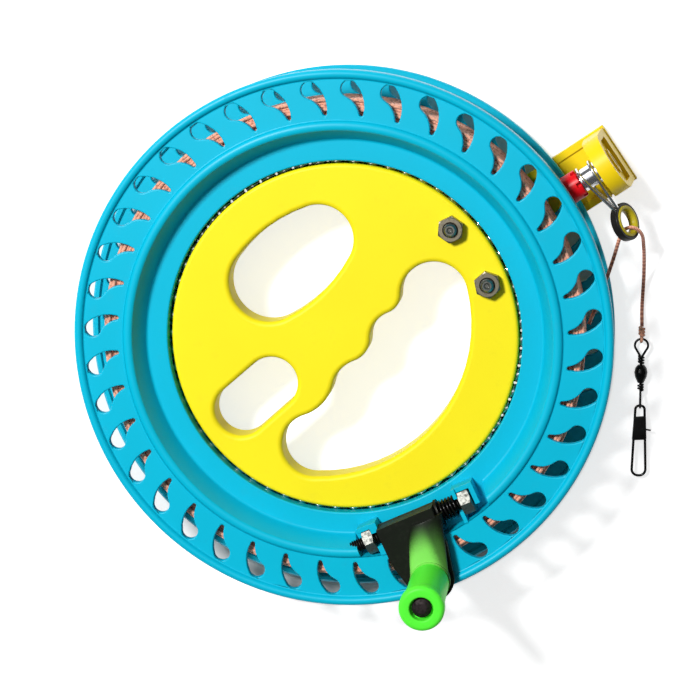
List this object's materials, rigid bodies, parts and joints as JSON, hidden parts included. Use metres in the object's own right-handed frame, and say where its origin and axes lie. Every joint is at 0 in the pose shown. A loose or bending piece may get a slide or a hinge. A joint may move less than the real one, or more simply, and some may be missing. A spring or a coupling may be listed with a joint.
{
  "type": "kite line winder",
  "caption": "Hand-held kite line winder: a slotted wheel turns on balls round a hand plate, with a folding crank, a swinging line guide and a snap swivel.",
  "frame": {"origin": "on the wheel's spin axis, in the plane of the front slotted face", "axes": "+Z along the spin axis, out of the front; +X right and +Y up for someone who looks at the front"},
  "size_m": [0.1706, 0.16, 0.0673],
  "materials": {
    "wheel_plastic": "moulded, semi-gloss sky blue",
    "plate_plastic": "moulded, satin yellow",
    "arm_plastic": "moulded, semi-gloss warm yellow",
    "crank_plastic": "moulded, dark green to black",
    "grip_plastic": "moulded, satin bright green",
    "cap_plastic": "moulded, semi-gloss red",
    "ring_plastic": "black",
    "insert_plastic": "smooth olive yellow",
    "line_cord": "braided, pinkish tan",
    "zinc_steel": "zinc plated",
    "spring_steel": "drawn wire",
    "ball_steel": "polished",
    "sleeve_chrome": "polished",
    "guide_wire": "dark polished wire",
    "swivel_metal": "black nickel"
  },
  "bodies": {
    "frame": {"hand_plate": "plate_plastic", "guide_arm": "arm_plastic", "arm_bolts": "zinc_steel", "arm_nuts": "zinc_steel", "guide_pin": "zinc_steel", "pin_cap": "cap_plastic", "free_line": "line_cord", "line_knot": "line_cord", "swivel_eye": "swivel_metal"},
    "wheel": {"front_shell": "wheel_plastic", "rear_shell": "wheel_plastic", "shell_screws": "zinc_steel", "line_core": "line_cord", "line_winding": "line_cord", "hinge_bolt": "zinc_steel", "hinge_nut": "zinc_steel", "crank_spring": "spring_steel"},
    "ball_set": {"bearing_balls": "ball_steel"},
    "carriage": {"crank_washer": "zinc_steel"},
    "crank": {"crank_arm": "crank_plastic", "grip_screw": "swivel_metal"},
    "knob": {"grip": "grip_plastic"},
    "guide": {"guide_sleeve": "sleeve_chrome", "guide_wire": "guide_wire", "ring_frame": "ring_plastic", "ring_insert": "insert_plastic"},
    "swivel": {"swivel_barrel": "swivel_metal"},
    "lower_link": {"lower_eye": "swivel_metal"},
    "snap": {"snap_wire": "swivel_metal", "snap_sleeve": "swivel_metal"}
  },
  "joints": [
    {"name": "wheel_spin", "type": "hinge", "parent": "frame", "child": "wheel", "pos_m": [0, 0, -0.013], "axis": [0, 0, 1], "continuous": true},
    {"name": "ball_run", "type": "hinge", "parent": "frame", "child": "ball_set", "pos_m": [0, 0, -0.013], "axis": [0, 0, 1], "continuous": true},
    {"name": "crank_release", "type": "slide", "parent": "wheel", "child": "carriage", "axis": [0.9078, 0.4195, 0], "range_m": [0, 0.002], "stiffness_N_per_m": 400, "springref_m": -0.003, "deforming": ["crank_spring"]},
    {"name": "crank_fold", "type": "hinge", "parent": "carriage", "child": "crank", "pos_m": [0.02454, -0.0531, -0.0024], "axis": [-0.9078, -0.4195, 0], "range_deg": [0, 90]},
    {"name": "grip_spin", "type": "hinge", "parent": "crank", "child": "knob", "pos_m": [0.02756, -0.06966, 0.0215], "axis": [0, 0, 1], "continuous": true},
    {"name": "guide_swing", "type": "hinge", "parent": "frame", "child": "guide", "pos_m": [0.07196, 0.0489, -0.012], "axis": [0.8271, 0.5621, 0], "range_deg": [-75, 20], "deforming": ["free_line"]},
    {"name": "swivel_spin", "type": "hinge", "parent": "frame", "child": "swivel", "pos_m": [0.0881, -0.0129, -0.03005], "axis": [0, 1, 0], "continuous": true},
    {"name": "lower_spin", "type": "hinge", "parent": "swivel", "child": "lower_link", "pos_m": [0.0881, -0.0129, -0.03005], "axis": [0, 1, 0], "continuous": true},
    {"name": "snap_tilt", "type": "hinge", "parent": "lower_link", "child": "snap", "pos_m": [0.0881, -0.02235, -0.03005], "axis": [1, 0, 0], "range_deg": [-60, 60]}
  ],
  "couplings": [
    {"joint": "ball_run", "follows": "wheel_spin", "ratio": 0.5226}
  ]
}
